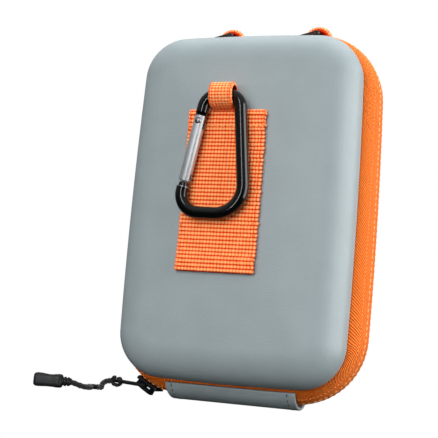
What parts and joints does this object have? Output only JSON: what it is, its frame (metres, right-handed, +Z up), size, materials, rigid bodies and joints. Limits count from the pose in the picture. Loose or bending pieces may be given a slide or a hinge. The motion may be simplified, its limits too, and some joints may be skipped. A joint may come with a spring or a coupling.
{
  "type": "camera case",
  "caption": "Hard-shell compact camera case with zip, hinge strip, webbing belt loop, snap hook, strap rings and corded zip pull.",
  "frame": {"origin": "under the middle of the case's box, on the surface it stands on; x = 0 is the case's plane of symmetry and y = 0.004 is the zip's centre plane", "axes": "+Z up along the case's height from the hinge strip to the strap loops, -Y out of the belt-loop face, +X to the right seen from that face"},
  "size_m": [0.1105, 0.0576, 0.1332],
  "materials": {
    "shell_skin": "matt fine-grained PU leather",
    "lining_fleece": "brushed knit lining",
    "binding_weave": "woven binding tape",
    "zip_tape": "herringbone twill zip tape",
    "zip_coil": "polyester coil",
    "plated_metal": "black nickel plate, satin",
    "stop_metal": "pressed",
    "cord_braid": "braided cord",
    "cord_end_rubber": "moulded, satin",
    "strip_skin": "matt grained PU leather",
    "webbing": "ribbed woven webbing",
    "net": "knitted net",
    "hook_black": "gloss black anodised",
    "gate_metal": "brushed",
    "spring_steel": "drawn wire",
    "ring_black": "satin black"
  },
  "bodies": {
    "case_rear": {"rear_shell": "shell_skin", "rear_lining": "lining_fleece", "rear_binding": "binding_weave", "zip_tape_rear": "zip_tape", "zip_coil_rear": "zip_coil", "zip_stop_rear": "stop_metal", "hinge_strip": "strip_skin", "hinge_lining": "lining_fleece", "belt_webbing": "webbing", "hook_tape": "webbing"},
    "case_front": {"front_shell": "shell_skin", "front_lining": "lining_fleece", "front_binding": "binding_weave", "zip_tape_front": "zip_tape", "zip_coil_front": "zip_coil", "zip_stop_front": "stop_metal", "mesh_pocket": "net", "pocket_edging": "binding_weave", "strap_loop_left": "webbing", "strap_loop_right": "webbing"},
    "slider": {"zip_slider": "plated_metal"},
    "pull": {"pull_tab": "plated_metal", "pull_cord": "cord_braid", "cord_end": "cord_end_rubber"},
    "hook": {"hook_body": "hook_black"},
    "gate": {"hook_gate": "gate_metal", "gate_rivet": "gate_metal", "gate_spring": "spring_steel", "gate_plunger": "spring_steel"},
    "ring_left": {"ring_left": "ring_black"},
    "ring_right": {"ring_right": "ring_black"}
  },
  "joints": [
    {"name": "case_open", "type": "hinge", "parent": "case_rear", "child": "case_front", "pos_m": [0, 0.004, 0.0016], "axis": [-1, 0, 0], "range_deg": [0, 150], "deforming": ["hinge_strip", "hinge_lining", "zip_tape_front", "zip_coil_front"]},
    {"name": "zip_run", "type": "hinge", "parent": "case_rear", "child": "slider", "pos_m": [-0.01855, 0.004, 0.02465], "axis": [0, 1, 0], "range_deg": [0, 48]},
    {"name": "tab_swing", "type": "hinge", "parent": "slider", "child": "pull", "pos_m": [-0.03178, 0.004, 0.00332], "axis": [0, 1, 0], "range_deg": [-130, 12]},
    {"name": "hook_swing", "type": "hinge", "parent": "case_rear", "child": "hook", "pos_m": [-0.00425, -0.0249, 0.0956], "axis": [-1, 0, 0], "range_deg": [0, 150]},
    {"name": "gate_open", "type": "hinge", "parent": "hook", "child": "gate", "pos_m": [-0.01118, -0.0249, 0.08689], "axis": [0, 1, 0], "range_deg": [-25, 0], "stiffness_Nm_per_rad": 0.03, "springref_deg": 17.19},
    {"name": "ring_left_swing", "type": "hinge", "parent": "case_front", "child": "ring_left", "pos_m": [-0.016, 0.018, 0.13065], "axis": [0, 1, 0], "range_deg": [-30, 240]},
    {"name": "ring_right_swing", "type": "hinge", "parent": "case_front", "child": "ring_right", "pos_m": [0.016, 0.018, 0.13065], "axis": [0, 1, 0], "range_deg": [-30, 240]}
  ]
}
